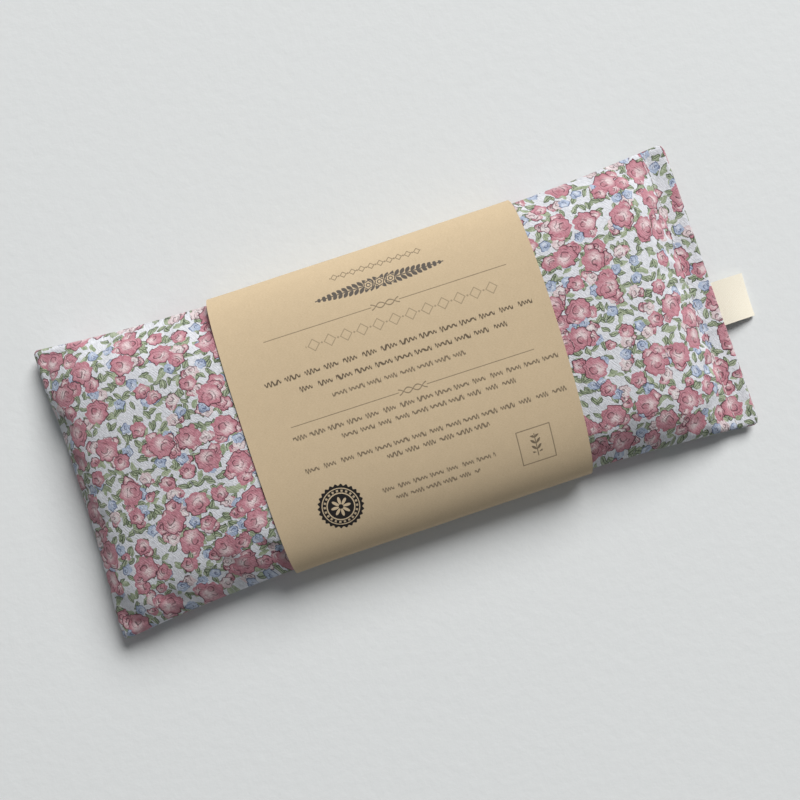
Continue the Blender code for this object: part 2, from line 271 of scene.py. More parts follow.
def cottonMaterial():
    look = {k: tint(*v) if isinstance(v, tuple) else v for k, v in cottonPrint.items()}
    made, start, shader = newMaterial("printedCotton", 0.86, Sheen_Weight=0.12, Sheen_Roughness=0.5,
                                      Specular_IOR_Level=0.25)
    flat = printPlane(start, "weave")
    wander = vector("SUBTRACT", grain(flat, 0.45, 2.0, out=1), (0.5, 0.5, 0.5))
    plane = vector("ADD", flat, vector("MULTIPLY", wander, (1.7, 1.7, 0.0)))
    plane = vector("MULTIPLY", plane, (1 / look["scale"], 1 / look["scale"], 0.0))
    wash = grain(flat, 0.7, 3.0, 0.62)
    colour = paint(look["ground"], look["groundShade"], ease(wash, 0.45, 0.75) * 0.5)

    # three sowings of leaves over one another, some leaves pale and without an outline
    sowings = ((31.0, 0.94), (57.0, 0.86), (83.0, 0.6))
    for shift, keep in sowings:
        x, y, chance, limit = scatter(plane, look["leafCell"], 0.8, shift)
        lean = y - 0.22 * sine(x * 0.9)
        bulge = 1 - (x / look["leafLength"]).math("POWER", 2.0)
        rim = lesser(look["leafWidth"] * bulge - abs(lean), limit)
        green = paint(look["leaf"], look["leafLight"], ease(lean, -0.4, 0.7) * 0.45 + 0.4 * chance[2])
        green = paint(green, look["leafDeep"], ease(wash, 0.5, 0.36) * 0.5)
        vein = ease(abs(lean), look["line"] * 0.6, look["line"] * 0.2)
        vein = vein * ease(rim, 0.1, 0.35) * below(x, 1.3)
        edge = ease(rim, look["line"] * 1.2, look["line"] * 0.45) * (0.55 + 0.45 * ease(lean, 0.35, 0.05))
        drawn = greater(vein * 0.7, edge * 0.88) * (0.25 + 0.75 * above(chance[1], 0.22))
        green = paint(green, look["leafLine"], drawn)
        colour = paint(colour, green, ease(rim, 0.0, 0.14) * below(chance[1], keep))

    # pale roses, each over a small pink bud, then blue flowers
    x, y, chance, limit = scatter(plane, look["budCell"], 0.74, 11.0)
    phase = chance[2] * 6.0
    size = look["budSize"]
    here = below(chance[1], 0.66)
    colour = bloom(colour, x - size * 0.75, y - size * 0.55, size * 0.85, 3.0, phase, limit,
                   wash, look, "rose", here)
    colour = bloom(colour, x, y, size, 6.0, phase, limit,
                   wash, look, "blush", here * below(chance[1], 0.4))
    x, y, chance, limit = scatter(plane, look["blueCell"], 0.74, 71.0)
    colour = bloom(colour, x, y, look["blueSize"], 5.0, chance[2] * 6.0, limit,
                   wash, look, "blue", below(chance[1], 0.5))

    # single roses, and full ones with a smaller bloom or two tucked behind: each bloom's place
    # and size as shares of the rose, its petals, and how many of the cells hold it
    x, y, chance, limit = scatter(plane, look["smallRoseCell"], 0.7, 47.0)
    colour = bloom(colour, x, y, look["smallRoseSize"], 5.0, chance[2] * 6.0, limit,
                   wash, look, "rose", below(chance[1], 0.55))
    x, y, chance, limit = scatter(plane, look["roseCell"], 0.66, 5.0)
    phase = chance[2] * 6.0
    size = look["roseSize"]
    tuckedBehind = (0.95, 0.1, 0.62, 5.0, 0.66)
    tuckedAbove = (-0.3, 0.92, 0.56, 4.0, 0.36)
    inFront = (0.0, 0.0, 1.0, 7.0, 0.93)
    for dx, dy, share, petals, odds in (tuckedBehind, tuckedAbove, inFront):
        colour = bloom(colour, x - dx * size, y - dy * size, size * share, petals, phase + dx * 3.0,
                       limit, wash, look, "rose", below(chance[1], odds))

    # twill: fine diagonal threads, lighter and darker
    diagonal = flat.make("ShaderNodeVectorRotate", {"rotation_type": "Z_AXIS"},
                         {"Vector": flat, "Angle": look["twillAngle"]})
    threads = ease(grain(vector("MULTIPLY", diagonal, (0.7, 2.6, 1.0)), 1.0, 2.0, 0.7), 0.3, 0.7)
    slub = grain(vector("MULTIPLY", flat, (3.0, 0.6, 1.0)), 1.0, 1.0)
    feed(start, shader, "Base Color", shade(colour, 0.73 + 0.23 * threads + 0.13 * slub))
    feed(start, shader, "Roughness", 0.8 + 0.15 * threads)
    ribs = sine(parts(diagonal)[1] * 8.4 + slub * 3.0)
    height = threads * 0.45 + slub * 0.25 + ribs * 0.05
    feed(start, shader, "Normal", bumpFrom(start, height, 0.00022, 0.75))
    return made


lowCover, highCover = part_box("cover_top")
lowBand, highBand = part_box("belly_band")
lowLabel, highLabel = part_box("label_loop")

pillow = {
    "centre": (lowCover.x + highCover.x) / 2,
    "length": highCover.x - lowCover.x - 0.5 * mm,
    "endWidth": 100.6 * mm, "waist": 91.2 * mm,
    "crown": 22.0 * mm,  # of the upper panel before the filling settles
    "seam": 6.3 * mm, "seamAtEnds": 4.7 * mm, "endEdge": 3.3 * mm,  # heights of the seam
    "seamWave": 0.5 * mm,
    "rim": 0.35 * mm,
    "closing": 8.0 * mm,  # flat strip beyond the closing stitch
    "shoulder": 12.0 * mm,  # over which the seam comes down to that strip
    "corner": 3.0 * mm,
    "endBow": 1.2 * mm,  # how far the folded end is drawn in at its middle
    "step": 2.0 * mm,
    "flatLength": 0.230, "flatWidth": 0.103,
}
# how the filling rounds the pillow: powers of the curves along and across it, how full the
# folded and the closed end are, and how deep the underside sinks
swell = {"along": 4.2, "across": 2.6, "folded": 0.5, "closed": 0.72, "sink": 1.35, "sinkPower": 0.8}
# cloth coordinates of the middle of each panel, so that the two don't share a piece of the print
panelAt = {1: (0.2, 0.1), -1: (0.2, 0.3)}
half = pillow["length"] / 2
closingLine = half - pillow["closing"]

band = {
    "middle": (lowBand.x + highBand.x) / 2 - pillow["centre"],
    "length": highBand.x - lowBand.x,
    "halfWidth": (highBand.y - lowBand.y) / 2 - 0.15 * mm,
    "top": highBand.z - 0.3 * mm,
    "power": 2.55,
    "paper": 0.28 * mm,
    "lift": 0.95 * mm,  # of the pillow's underside over the two layers of the lap
    "lap": 14.0 * mm,
    "slack": 0.25 * mm,  # between the paper and the cloth
    "points": 190, "columns": 42,
    "waves": 0.16 * mm, "crease": 0.12 * mm, "flare": 0.12 * mm,
    "askew": 1.5, "bow": 0.9,  # of the cut end, in millimetres
}

label = {
    "width": 15 * mm, "tape": 0.3 * mm, "middle": (lowLabel.y + highLabel.y) / 2,
    "inside": 5.5 * mm, "droop": 2.3 * mm,
    "gap": 0.3 * mm,  # between the two layers
    "cream": (242, 236, 220), "shadeCream": (231, 221, 199),
    "points": 46, "columns": 12,
}


def smoothStep(t):
    t = min(max(t, 0.0), 1.0)
    return t * t * (3 - 2 * t)


def bandShare(x):
    # 1 inside the band and 0 a centimetre outside it
    past = abs(x - band["middle"]) - band["length"] / 2
    return 1 - smoothStep(past / (10 * mm))


def halfWidth(x):
    flare = (pillow["endWidth"] - pillow["waist"]) / 2
    return pillow["waist"] / 2 + flare * min(abs(x) / half, 1.0) ** 3


def seamHeight(x, side):
    # the seam sinks from the middle of each long side to the ends, and most at the flat strip
    t = min(abs(x) / half, 1.0)
    z = pillow["seam"] + (pillow["seamAtEnds"] - pillow["seam"]) * t ** 3
    shoulder = pillow["shoulder"]
    if x > closingLine - shoulder:
        past = x - closingLine + shoulder
        z += (pillow["endEdge"] - z) * smoothStep(past / (pillow["closing"] + shoulder))
    return z + pillow["seamWave"] * side * math.sin(x * 21)


def planPoint(sx, sy):
    # where a point of the flat panel lies, seen from above, once the pillow is filled
    x = sx * half
    wide = halfWidth(x)
    y = sy * wide
    r = pillow["corner"]
    a = (abs(x) - half + r) / r
    b = (abs(y) - wide + r) / r
    if a > 0 and b > 0:
        x = math.copysign(half - r + r * a * math.sqrt(1 - b * b / 2), x)
        y = math.copysign(wide - r + r * b * math.sqrt(1 - a * a / 2), y)
    if x < 0:
        x += pillow["endBow"] * (1 - sy * sy) * abs(sx) ** 6
    return x, y


def fullness(sx, sy):
    # share of the filling's height over a point: blunt at the folded end, softer at the closed one
    t = (sx * half + half) / (closingLine + half) * 2 - 1
    if t >= 1:
        return 0.0
    along = (1 - abs(t) ** swell["along"]) ** (swell["folded"] if t < 0 else swell["closed"])
    across = (1 - abs(sy) ** swell["across"]) ** (1 / swell["across"])
    return along * across


def restingPoint(sx, sy, side):
    # where a point of the upper or lower panel lies before the cloth settles
    x, y = planPoint(sx, sy)
    z = seamHeight(x, sy)
    edge = min(1 - abs(sx), 1 - abs(sy))
    if edge < 1e-6:
        return Vector((x, y, z))
    if x > closingLine:
        return Vector((x, y, z + side * pillow["rim"] * 1.4))
    full = fullness(sx, sy)
    if side > 0:
        return Vector((x, y, z + pillow["rim"] + (pillow["crown"] - z) * full))
    floor = 0.15 * mm + band["lift"] * bandShare(x)
    sunk = z - pillow["rim"] - swell["sink"] * z * full ** swell["sinkPower"]
    return Vector((x, y, max(sunk, floor)))


def pouchMesh():
    # two panels that share their seam, with the flat cloth's own coordinates kept on every corner
    columns = round(pillow["length"] / pillow["step"])
    rows = round(pillow["endWidth"] / pillow["step"])
    bm = bmesh.new()
    weave = bm.loops.layers.uv.new("weave")
    for side in (1, -1):
        grid = bmesh.ops.create_grid(bm, x_segments=columns, y_segments=rows, size=0.5)
        faces = list({f for v in grid["verts"] for f in v.link_faces})
        shares = {v: (v.co.x * 2, v.co.y * 2) for v in grid["verts"]}
        for v, (sx, sy) in shares.items():
            v.co = restingPoint(sx, sy, side)
        for face in faces:
            for corner in face.loops:
                sx, sy = shares[corner.vert]
                u, v = panelAt[side]
                corner[weave].uv = (sx * pillow["flatLength"] / 2 + u, sy * pillow["flatWidth"] / 2 + v)
        if side < 0:
            bmesh.ops.reverse_faces(bm, faces=faces)
    bmesh.ops.remove_doubles(bm, verts=bm.verts, dist=1e-6)
    bmesh.ops.recalc_face_normals(bm, faces=bm.faces)
    return bm


def newPiece(name, bm, material, smooth=True):
    mesh = bpy.data.meshes.new(name)
    bm.to_mesh(mesh)
    bm.free()
    obj = bpy.data.objects.new(name, mesh)
    scene.collection.objects.link(obj)
    if material:
        mesh.materials.append(material)
    if smooth:
        mesh.shade_smooth()
    return obj


def thicken(piece, thickness):
    # gives a sheet its two faces and crisp cut edges
    wall = piece.modifiers.new("wall", "SOLIDIFY")
    wall.thickness = thickness
    wall.offset = 0
    wall.use_even_offset = True
    solid = bpy.data.meshes.new_from_object(piece.evaluated_get(bpy.context.evaluated_depsgraph_get()))
    piece.modifiers.remove(wall)
    piece.data = solid
    solid.set_sharp_from_angle(angle=math.radians(50))


# the cloth is worked at ten times its size, and no point may end more than the cap from its start
settle = {"frames": 26, "scale": 10.0, "pressure": 2.2, "ease": 0.03, "cap": 2.6 * mm}


def settleCloth(obj):
    # the cloth is cut a little larger than the filling, so that it puckers along the seams as it swells
    big = settle["scale"]
    obj.data.transform(Matrix.Scale(big, 4))
    start = np.empty(len(obj.data.vertices) * 3)
    obj.data.vertices.foreach_get("co", start)
    start = start.reshape(-1, 3)
    holds = obj.vertex_groups.new(name="holds")
    for v in obj.data.vertices:
        x, y, z = v.co / big
        onSeam = abs(z - seamHeight(x, y / halfWidth(x))) < 0.02 * mm
        hold = 0.0
        if x > closingLine - 0.1 * mm or onSeam:
            hold = 1.0
        elif z < 2.0 * mm:
            hold = 0.97
        if hold:
            holds.add([v.index], hold, "REPLACE")
    cloth = obj.modifiers.new("settle", "CLOTH")
    s = cloth.settings
    s.quality = 7
    s.mass = 0.08
    s.air_damping = 1.5
    s.tension_stiffness = s.compression_stiffness = 26
    s.shear_stiffness = 12
    s.bending_stiffness = 0.35
    s.tension_damping = s.compression_damping = s.shear_damping = 12
    s.bending_damping = 1.0
    s.use_pressure = True
    s.uniform_pressure_force = settle["pressure"]
    s.shrink_min = -settle["ease"]
    s.vertex_group_mass = "holds"
    s.effector_weights.gravity = 0
    cloth.collision_settings.use_collision = False
    cloth.collision_settings.use_self_collision = False
    scene.frame_end = settle["frames"]
    cloth.point_cache.frame_end = settle["frames"]
    for k in range(1, settle["frames"] + 1):
        scene.frame_set(k)
    bpy.context.view_layer.update()
    settled = obj.evaluated_get(bpy.context.evaluated_depsgraph_get())
    moved = np.empty(len(obj.data.vertices) * 3)
    settled.data.vertices.foreach_get("co", moved)
    moved = moved.reshape(-1, 3)
    obj.modifiers.remove(cloth)
    obj.vertex_groups.remove(holds)
    scene.frame_set(1)
    step = (moved - start) / big
    far = np.linalg.norm(step, axis=1)
    cap = settle["cap"]
    held = cap * np.tanh(far / cap)
    step *= (held / np.maximum(far, 1e-9))[:, None]
    most, average = (round(float(d) / mm, 2) for d in (far.max(), far.mean()))
    print("   cloth moved", most, "mm at most,", average, "on average")
    obj.data.vertices.foreach_set("co", (start / big + step).ravel())
    obj.data.update()


def bandEdge(y, z):
    # above 1 outside the paper's inner face
    base = pillow["seam"]
    tall = (band["top"] - band["paper"] - band["slack"] - base) if z > base else base
    wide = band["halfWidth"] - band["paper"] - band["slack"]
    return (abs(y) / wide) ** band["power"] + (abs(z - base) / tall) ** band["power"]


def buildCover(material):
    cover = newPiece("eyePillowCover", pouchMesh(), material)
    settleCloth(cover)
    bm = bmesh.new()
    bm.from_mesh(cover.data)
    # smaller faces, eased where they aren't on the seam, for the relief to work on
    bmesh.ops.subdivide_edges(bm, edges=bm.edges, cuts=1, smooth=0.0, use_grid_fill=True)
    for _ in range(2):
        bmesh.ops.smooth_vert(bm, verts=[v for v in bm.verts if not onRim(v)], factor=0.35,
                              use_axis_x=True, use_axis_y=True, use_axis_z=True)
    bm.normal_update()
    moves = {v: seamRelief(v) for v in bm.verts}
    for v, step in moves.items():
        v.co += step
    base = pillow["seam"]
    for v in bm.verts:
        x, y, z = v.co
        share = bandShare(x)
        if share > 0:
            over = bandEdge(y, z)
            if over > 1:
                pull = over ** (-1 / band["power"])
                pull = 1 + (pull - 1) * share
                v.co.y = y * pull
                v.co.z = base + (z - base) * pull
        floor = 0.02 * mm + band["lift"] * share
        if v.co.z < floor:
            v.co.z = floor
        v.co.x += pillow["centre"]
    bm.to_mesh(cover.data)
    bm.free()
    cover.data.update()
    cover.data.shade_smooth()
    return cover


def rimPlace(co):
    # distance in from the outline, and place along it
    x, y = co.x, co.y
    wide = halfWidth(x)
    toSide, toEnd = wide - abs(y), half - abs(x)
    return (toSide, x) if toSide < toEnd else (toEnd, y + math.copysign(1.0, x))


def onRim(v):
    height = abs(v.co.z - seamHeight(v.co.x, v.co.y / halfWidth(v.co.x)))
    return height < 0.03 * mm and rimPlace(v.co)[0] < 2.2 * mm


# how far the cloth stands in or out at its seams and over the seeds, how far that reaches,
# and how quickly it changes along the cloth (rates, per metre)
relief = {
    "rim": 0.35 * mm, "roll": 0.42 * mm, "rollAt": 1.2 * mm, "rollWidth": 1.1 * mm,
    "pucker": 0.30 * mm, "puckerReach": 5.5 * mm,
    "seeds": 0.22 * mm, "swells": 0.35 * mm, "strip": 0.3 * mm, "overTape": 0.35 * mm,
    "gather": 0.55 * mm, "gatherReach": 7 * mm, "flatReach": 10 * mm,
    "stitchDip": 0.5 * mm, "dipWidth": 0.9 * mm,
    "puckerRate": 330, "fineRate": 760, "seedRate": 85, "swellRate": 34, "gatherRate": 260,
}


def seamRelief(v):
    # rolls the cloth over either side of the seam, gathers it in small puckers and lays the
    # seeds under it
    inward, along = rimPlace(v.co)
    x, y, z = v.co
    if onRim(v):
        atEnd = half - abs(x) < halfWidth(x) - abs(y)
        middle = Vector((x - math.copysign(6 * mm, x) if atEnd else x, y * 0.95, z))
        return (middle - v.co).normalized() * relief["rim"]
    height = abs(z - seamHeight(x, y / halfWidth(x)))
    away = math.hypot(max(inward, 0.0), height)
    roll = relief["roll"] * math.exp(-((away - relief["rollAt"]) / relief["rollWidth"]) ** 2)
    layer = 3.1 if z > pillow["seam"] else 9.7
    pucker = noise.noise(Vector((along * relief["puckerRate"], layer, x * 12)))
    pucker += 0.5 * noise.noise(Vector((along * relief["fineRate"], 17.3, away * 120)))
    pucker *= relief["pucker"] * math.exp(-away / relief["puckerReach"]) * (1 - 0.7 * bandShare(x))
    rate = relief["seedRate"]
    lumps = relief["seeds"] * noise.noise(Vector((x * rate, y * rate, z * 40)))
    rate = relief["swellRate"]
    lumps += relief["swells"] * noise.noise(Vector((x * rate + 5, y * rate, 2.2)))
    fromStitch = closingLine - x
    if fromStitch > 0:
        gather = noise.noise(Vector((y * relief["gatherRate"], 41.0, 0.0)))
        pucker += gather * relief["gather"] * math.exp(-fromStitch / relief["gatherReach"])
        lumps *= 1 - math.exp(-fromStitch / relief["flatReach"])
    else:
        overTape = smoothStep((label["width"] / 2 + 2 * mm - abs(y - label["middle"])) / (2 * mm))
        lumps = relief["strip"] * noise.noise(Vector((y * 130, x * 90, 6.0))) * (1 - overTape)
        lumps += relief["overTape"] * overTape
    dip = relief["stitchDip"] * math.exp(-((x - closingLine) / relief["dipWidth"]) ** 2)
    return v.normal * (roll + pucker + lumps * min(1.0, away / (8 * mm)) - dip)


print("cover")
cotton = cottonMaterial()
cover = buildCover(cotton)
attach(cover, "pillow")
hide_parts("cover_top", "cover_bottom")


print("band")
bandPrint = {
    "paper": (204, 184, 153), "paperDark": (191, 170, 138), "fibre": (158, 134, 104),
    "ink": (66, 55, 45), "inkBlue": (52, 54, 62), "black": (34, 31, 30),
}

# rows of small waves and of lozenges, in millimetres on the flat strip:
# (across, half height, start, end, how dark, wave length, 1 for lozenges)
printRows = (
    (-34.2, 0.75, -12.8, 15.3, 0.8, 1.05, 0),
    (-30.8, 0.75, -16.2, 21.2, 0.8, 1.05, 0),
    (-21.0, 0.85, -11.5, 21.9, 0.85, 1.15, 0),
    (-17.7, 0.85, -37.0, 47.9, 0.85, 1.15, 0),
    (-10.6, 0.85, -22.7, 33.8, 0.85, 1.15, 0),
    (-7.1, 0.85, -37.3, 48.6, 0.85, 1.15, 0),
    (2.4, 0.8, -21.6, 21.1, 0.8, 1.1, 0),
    (7.0, 0.95, -31.1, 36.0, 1.0, 1.25, 0),
    (11.4, 0.95, -40.5, 45.8, 1.0, 1.25, 0),
    (19.1, 2.2, -24.9, 37.2, 0.5, 5.2, 1),
    (38.8, 1.25, -11.5, 18.3, 0.7, 3.0, 1),
)

# where the ornaments lie on the strip, and their sizes, in the same millimetres
ornaments = {
    "squareTo": 2.3, "outOfSquare": 0.0103,
    "ruleMiddle": 2.4, "ruleAt": 24.8, "ruleGap": 28.1, "betweenRules": 10.7, "ruleReach": 39.2,
    "knotReach": 4.5,
    "spray": (2.9, 32.4), "sprayReach": 20.8, "sprayPitch": 1.7, "bloomPitch": 3.6,
    "stamp": (-29.9, -31.4), "stampSize": 7.1,
    "square": (34.4, -31.9), "squareHalf": 5.45, "sprigPitch": 1.9,
}


def pickRow(v, *columns):
    # up to three of a row's numbers, as shares, looked up by the row that v is nearest to
    spare = [0.0] * (3 - len(columns))
    shares = [[(row[k] + low) / span for k, low, span in columns] + spare for row in printRows]
    ramp = v.make("ShaderNodeValToRGB", {}, {0: (v + 50) * 0.01})
    stops = ramp.socket.node.color_ramp
    stops.interpolation = "CONSTANT"
    for k, share in enumerate(shares):
        place = (printRows[k - 1][0] + printRows[k][0] + 100) / 200 if k else 0.0
        stop = stops.elements[k] if k < 2 else stops.elements.new(place)
        stop.position = place
        stop.color = (*share, 1.0)
    found = parts(ramp)
    return [found[k] * span - low for k, (_, low, span) in enumerate(columns)]


def printMarks(u, v):
    # the printed rows: small waves in groups, and chains of open lozenges; no letters
    across, high, left = pickRow(v, (0, 50, 100), (1, 0, 5), (2, 50, 100))
    right, dark, pitch = pickRow(v, (3, 50, 100), (4, 0, 1), (5, 0, 10))
    lozenges, = pickRow(v, (6, 0, 1))
    uneven = 0.3 * sine(u * 0.9 + across) + 0.1 * sine(u * 2.3)
    step = (u - left) / pitch + uneven * (1 - lozenges)
    slot = step.math("FLOOR")
    lane = (v - across) / high
    # a low wave, swelling and sinking slowly, thinned where it is steep; each fifth one is left
    # out, and the divisor is short of 5 so that rounding doesn't split a group
    swing = 0.5 + 0.16 * sine(step * 1.3 + across)
    wave = swing * sine(step * fullTurn)
    steep = swing * high / pitch * fullTurn * cosine(step * fullTurn)
    away = abs(lane - wave) * high / (1 + steep * steep).math("SQRT")
    waves = ease(away, 0.32, 0.12) * below((slot / 4.999).math("FRACT"), 0.75)
    # an open lozenge in each slot with a dot between
    place = (step.math("FRACT") - 0.5) * pitch / high
    ring = abs(place) * 1.05 + abs(lane)
    lozenge = ease(abs(ring - 0.86) * high, 0.3, 0.12)
    dot = ease((-abs(place) + pitch * 0.5 / high + abs(lane)) * high, 0.5, 0.3)
    marks = waves + (greater(lozenge, dot) - waves) * lozenges
    return marks * dark * above(u, left) * below(u, right)


def slantingLeaf(side, on, halfLength, halfWidth, soft):
    # one leaf at 45 degrees to its twig, side and on measured from the leaf's middle
    slant = 0.707
    along, over = (side + on) * slant, (on - side) * slant
    return ease(halfWidth * (1 - (along / halfLength).math("POWER", 2.0)) - abs(over), -0.05, soft)


def kraftMaterial():
    look = {k: tint(*c) for k, c in bandPrint.items()}
    at = ornaments
    made, start, shader = newMaterial("kraftPaper", 0.82, Specular_IOR_Level=0.3)
    flat = printPlane(start, "sheet")
    fibres = grain(vector("MULTIPLY", flat, (0.9, 3.4, 1.0)), 1.6, 4.0, 0.7)
    mottle = grain(flat, 0.32, 4.0, 0.65)
    specks = grain(vector("MULTIPLY", flat, (2.4, 6.5, 1.0)), 1.0, 2.0, 0.6)
    colour = paint(look["paper"], look["paperDark"], ease(fibres, 0.38, 0.66) * 0.7)
    colour = paint(colour, look["fibre"], ease(specks, 0.62, 0.78) * 0.6)
    colour = shade(colour, 0.94 + 0.12 * mottle)

    u, v, _ = parts(flat)
    rough = (grain(flat, 2.2, 1.0) - 0.5) * 0.12
    v = v + rough + (u - at["squareTo"]) * at["outOfSquare"]
    colour = paint(colour, look["ink"], printMarks(u, v) * 0.85)

    # two thin rules, each with a small flourish in its middle
    du = u - at["ruleMiddle"]
    lift = v - at["ruleAt"] + at["ruleGap"] * below(v, at["betweenRules"])
    rule = ease(abs(lift), 0.19, 0.07) * above(abs(du), at["knotReach"]) * below(abs(du), at["ruleReach"])
    twist = abs(lift) - 0.85 * abs(sine(du * 1.05))
    knot = ease(abs(twist), 0.3, 0.1) * below(abs(du), at["knotReach"])
    colour = paint(colour, look["ink"], greater(rule, knot) * 0.62)

    # a spray: paired leaves on a twig from the middle outwards, and three round blooms
    du, dv = u - at["spray"][0], v - at["spray"][1]
    span = greater(1 - (du / at["sprayReach"]).math("POWER", 2.0), 0.0)
    twig = ease(abs(dv), 0.26, 0.1) * above(span, 0.001)
    pitch = at["sprayPitch"]
    side, on = abs(dv) - 1.3 * span, (abs(du) / pitch).math("FRACT") * pitch - 0.9
    leaves = slantingLeaf(side, on, 0.4 + 1.2 * span, 0.62, 0.1) * above(span, 0.02)
    pitch = at["bloomPitch"]
    r, a = polar(((du / pitch + 0.5).math("FRACT") - 0.5) * pitch, dv)
    rim = ease(abs(r - 1.35 - 0.12 * sine(a * 6.0)), 0.24, 0.1) + ease(abs(r - 0.6), 0.22, 0.1)
    bloomHere = below(r, 1.6) * below(abs(du), pitch * 1.5)
    spray = greater(twig, leaves) * (1 - bloomHere) + lesser(rim, 1.0) * bloomHere
    colour = paint(colour, look["inkBlue"], spray * 0.85)

    # scalloped round stamp with a plain daisy in it
    r, a = polar(u - at["stamp"][0], v - at["stamp"][1])
    disc = ease(r - 0.3 * sine(a * 26.0), at["stampSize"], at["stampSize"] - 0.25)
    ring = ease(abs(r - 5.85), 0.2, 0.08) + ease(abs(r - 4.3), 0.25, 0.12)
    beads = ease(abs(r - 5.05), 0.42, 0.3) * above(sine(a * 22.0), 0.1)
    daisy = ease(r - 2.9 * abs(cosine(a * 4.0)) - 0.2, 0.2, -0.1) * ease(r, 0.7, 0.85)
    stamp = greater(greater(ring, beads * 0.8), daisy)
    colour = paint(colour, paint(look["black"], look["paper"], stamp), disc)

    # square outline round an upright sprig with paired leaves
    su, sv = u - at["square"][0], v - at["square"][1]
    frameLine = ease(abs(greater(abs(su), abs(sv)) - at["squareHalf"]), 0.24, 0.08)
    stem = ease(abs(su), 0.2, 0.08) * below(abs(sv), 3.7)
    pitch = at["sprigPitch"]
    side, up = abs(su) - 0.85, (sv / pitch).math("FRACT") * pitch - 1.2
    pair = slantingLeaf(side, up, 1.15, 0.42, 0.08) * below(abs(sv - 0.4), 2.85)
    colour = paint(colour, look["ink"], greater(frameLine * 0.75, greater(stem, pair) * 0.9) * 0.85)

    feed(start, shader, "Base Color", colour)
    feed(start, shader, "Roughness", 0.78 + 0.12 * fibres)
    feed(start, shader, "Normal", bumpFrom(start, fibres + specks * 0.4, 0.00006, 0.6))
    return made


def bandSection():
    # the strip's middle line from its inner end under the pillow, round and over, to its outer end
    wide = band["halfWidth"] - band["paper"] / 2
    base = pillow["seam"]
    tall = band["top"] - band["paper"] / 2 - base
    low = band["paper"] / 2 + 0.03 * mm
    lap = band["lap"] / 2
    power = band["power"]
    over = []
    for k in range(61):
        angle = math.pi * (k / 60 - 0.5)
        y = math.copysign(abs(math.sin(angle)) ** (2 / power), angle) * wide
        over.append((y, base + max(math.cos(angle), 0.0) ** (2 / power) * tall))
    under = []
    for k in range(1, 24):
        angle = math.pi / 2 * (1 - k / 24)
        y = math.sin(angle) ** (2 / power) * wide
        z = base - math.cos(angle) ** (2 / power) * (base - low) * 1.12
        if z < low or y < 30 * mm:
            break
        under.append((y, z))
    foot = under[-1][0] - 2.5 * mm
    inner = low + band["paper"] + 0.12 * mm
    line = [(lap, inner), (0.0, inner), (-lap - 1 * mm, inner), (-lap - 5 * mm, low)]
    line += [(-foot, low)] + [(-y, z) for y, z in reversed(under)]
    line += over
    line += under + [(foot, low), (lap + 4 * mm, low), (-lap, low)]
    return line


def evenly(line, count):
    # the same line with points an even distance apart
    points = np.array(line)
    gaps = np.linalg.norm(np.diff(points, axis=0), axis=1)
    run = np.concatenate(([0.0], np.cumsum(gaps)))
    at = np.linspace(0, run[-1], count)
    return np.stack([np.interp(at, run, points[:, k]) for k in range(2)], axis=1), at


def drawnStrip(line, run, axis, start, width, columns, layer, flat):
    # a strip with this line as its section, drawn out along x or y; flat gives its own
    # coordinates from how far out a point is and how far round
    def point(out, across, z):
        return (out, across, z) if axis == 0 else (across, out, z)

    bm = bmesh.new()
    sheet = bm.loops.layers.uv.new(layer)
    row = [bm.verts.new(point(start, across, z)) for across, z in line]
    place = {v: flat(0.0, r) for v, r in zip(row, run)}
    edges = [bm.edges.new(pair) for pair in zip(row, row[1:])]
    for k in range(columns):
        drawn = bmesh.ops.extrude_edge_only(bm, edges=edges)["geom"]
        new = [g for g in drawn if isinstance(g, bmesh.types.BMVert)]
        edges = [g for g in drawn if isinstance(g, bmesh.types.BMEdge)
                 and g.verts[0] in new and g.verts[1] in new]
        bmesh.ops.translate(bm, verts=new, vec=point(width / columns, 0, 0))
        for v in new:
            nearest = int(np.argmin(np.hypot(line[:, 0] - v.co[1 - axis], line[:, 1] - v.co.z)))
            place[v] = flat(width * (k + 1) / columns, run[nearest])
    for face in bm.faces:
        for corner in face.loops:
            corner[sheet].uv = place[corner.vert]
    bmesh.ops.recalc_face_normals(bm, faces=bm.faces)
    upper = max(bm.faces, key=lambda f: f.calc_center_median().z)
    if upper.normal.z < 0:
        bmesh.ops.reverse_faces(bm, faces=bm.faces)
    bm.normal_update()
    return bm


def buildBand(material):
    line, run = evenly(bandSection(), band["points"])
    top = run[int(np.argmin(np.abs(line[:, 0]) + (line[:, 1] < 15 * mm) * 1.0))]
    left = -band["length"] / 2
    bm = drawnStrip(line, run, 0, left, band["length"], band["columns"], "sheet",
                    lambda out, r: (left + out, r - top))
    # the upper side waves a little, has a faint crease across it and flares at its cut ends
    for v in bm.verts:
        x, y, z = v.co
        raised = smoothStep((z - 3 * mm) / (4 * mm))
        wave = band["waves"] * noise.noise(Vector((x * 30, y * 28, 1.4)))
        fold = -band["crease"] * math.exp(-((x + 0.6 * mm + y * 0.02) / (0.9 * mm)) ** 2)
        fold *= smoothStep((24 * mm - abs(y + 3.5 * mm)) / (8 * mm))
        toEdge = band["length"] / 2 - abs(x)
        flare = band["flare"] * math.exp(-toEdge / (4 * mm))
        v.co += v.normal * (wave + fold + flare) * raised
        # the end towards the label is cut a little askew
        askew = band["askew"] * y / band["halfWidth"]
        v.co.x += (askew + band["bow"] * math.cos(askew)) * mm * smoothStep(x / band["length"] + 0.5)
        v.co.x += pillow["centre"] + band["middle"]
    piece = newPiece("bellyBand", bm, material)
    thicken(piece, band["paper"])
    return piece, run[-1]


kraft = kraftMaterial()
bellyBand, bandRun = buildBand(kraft)
print("   the strip is", round(bandRun * 1000, 1), "mm long")
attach(bellyBand, "band")
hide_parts("belly_band")


print("label")


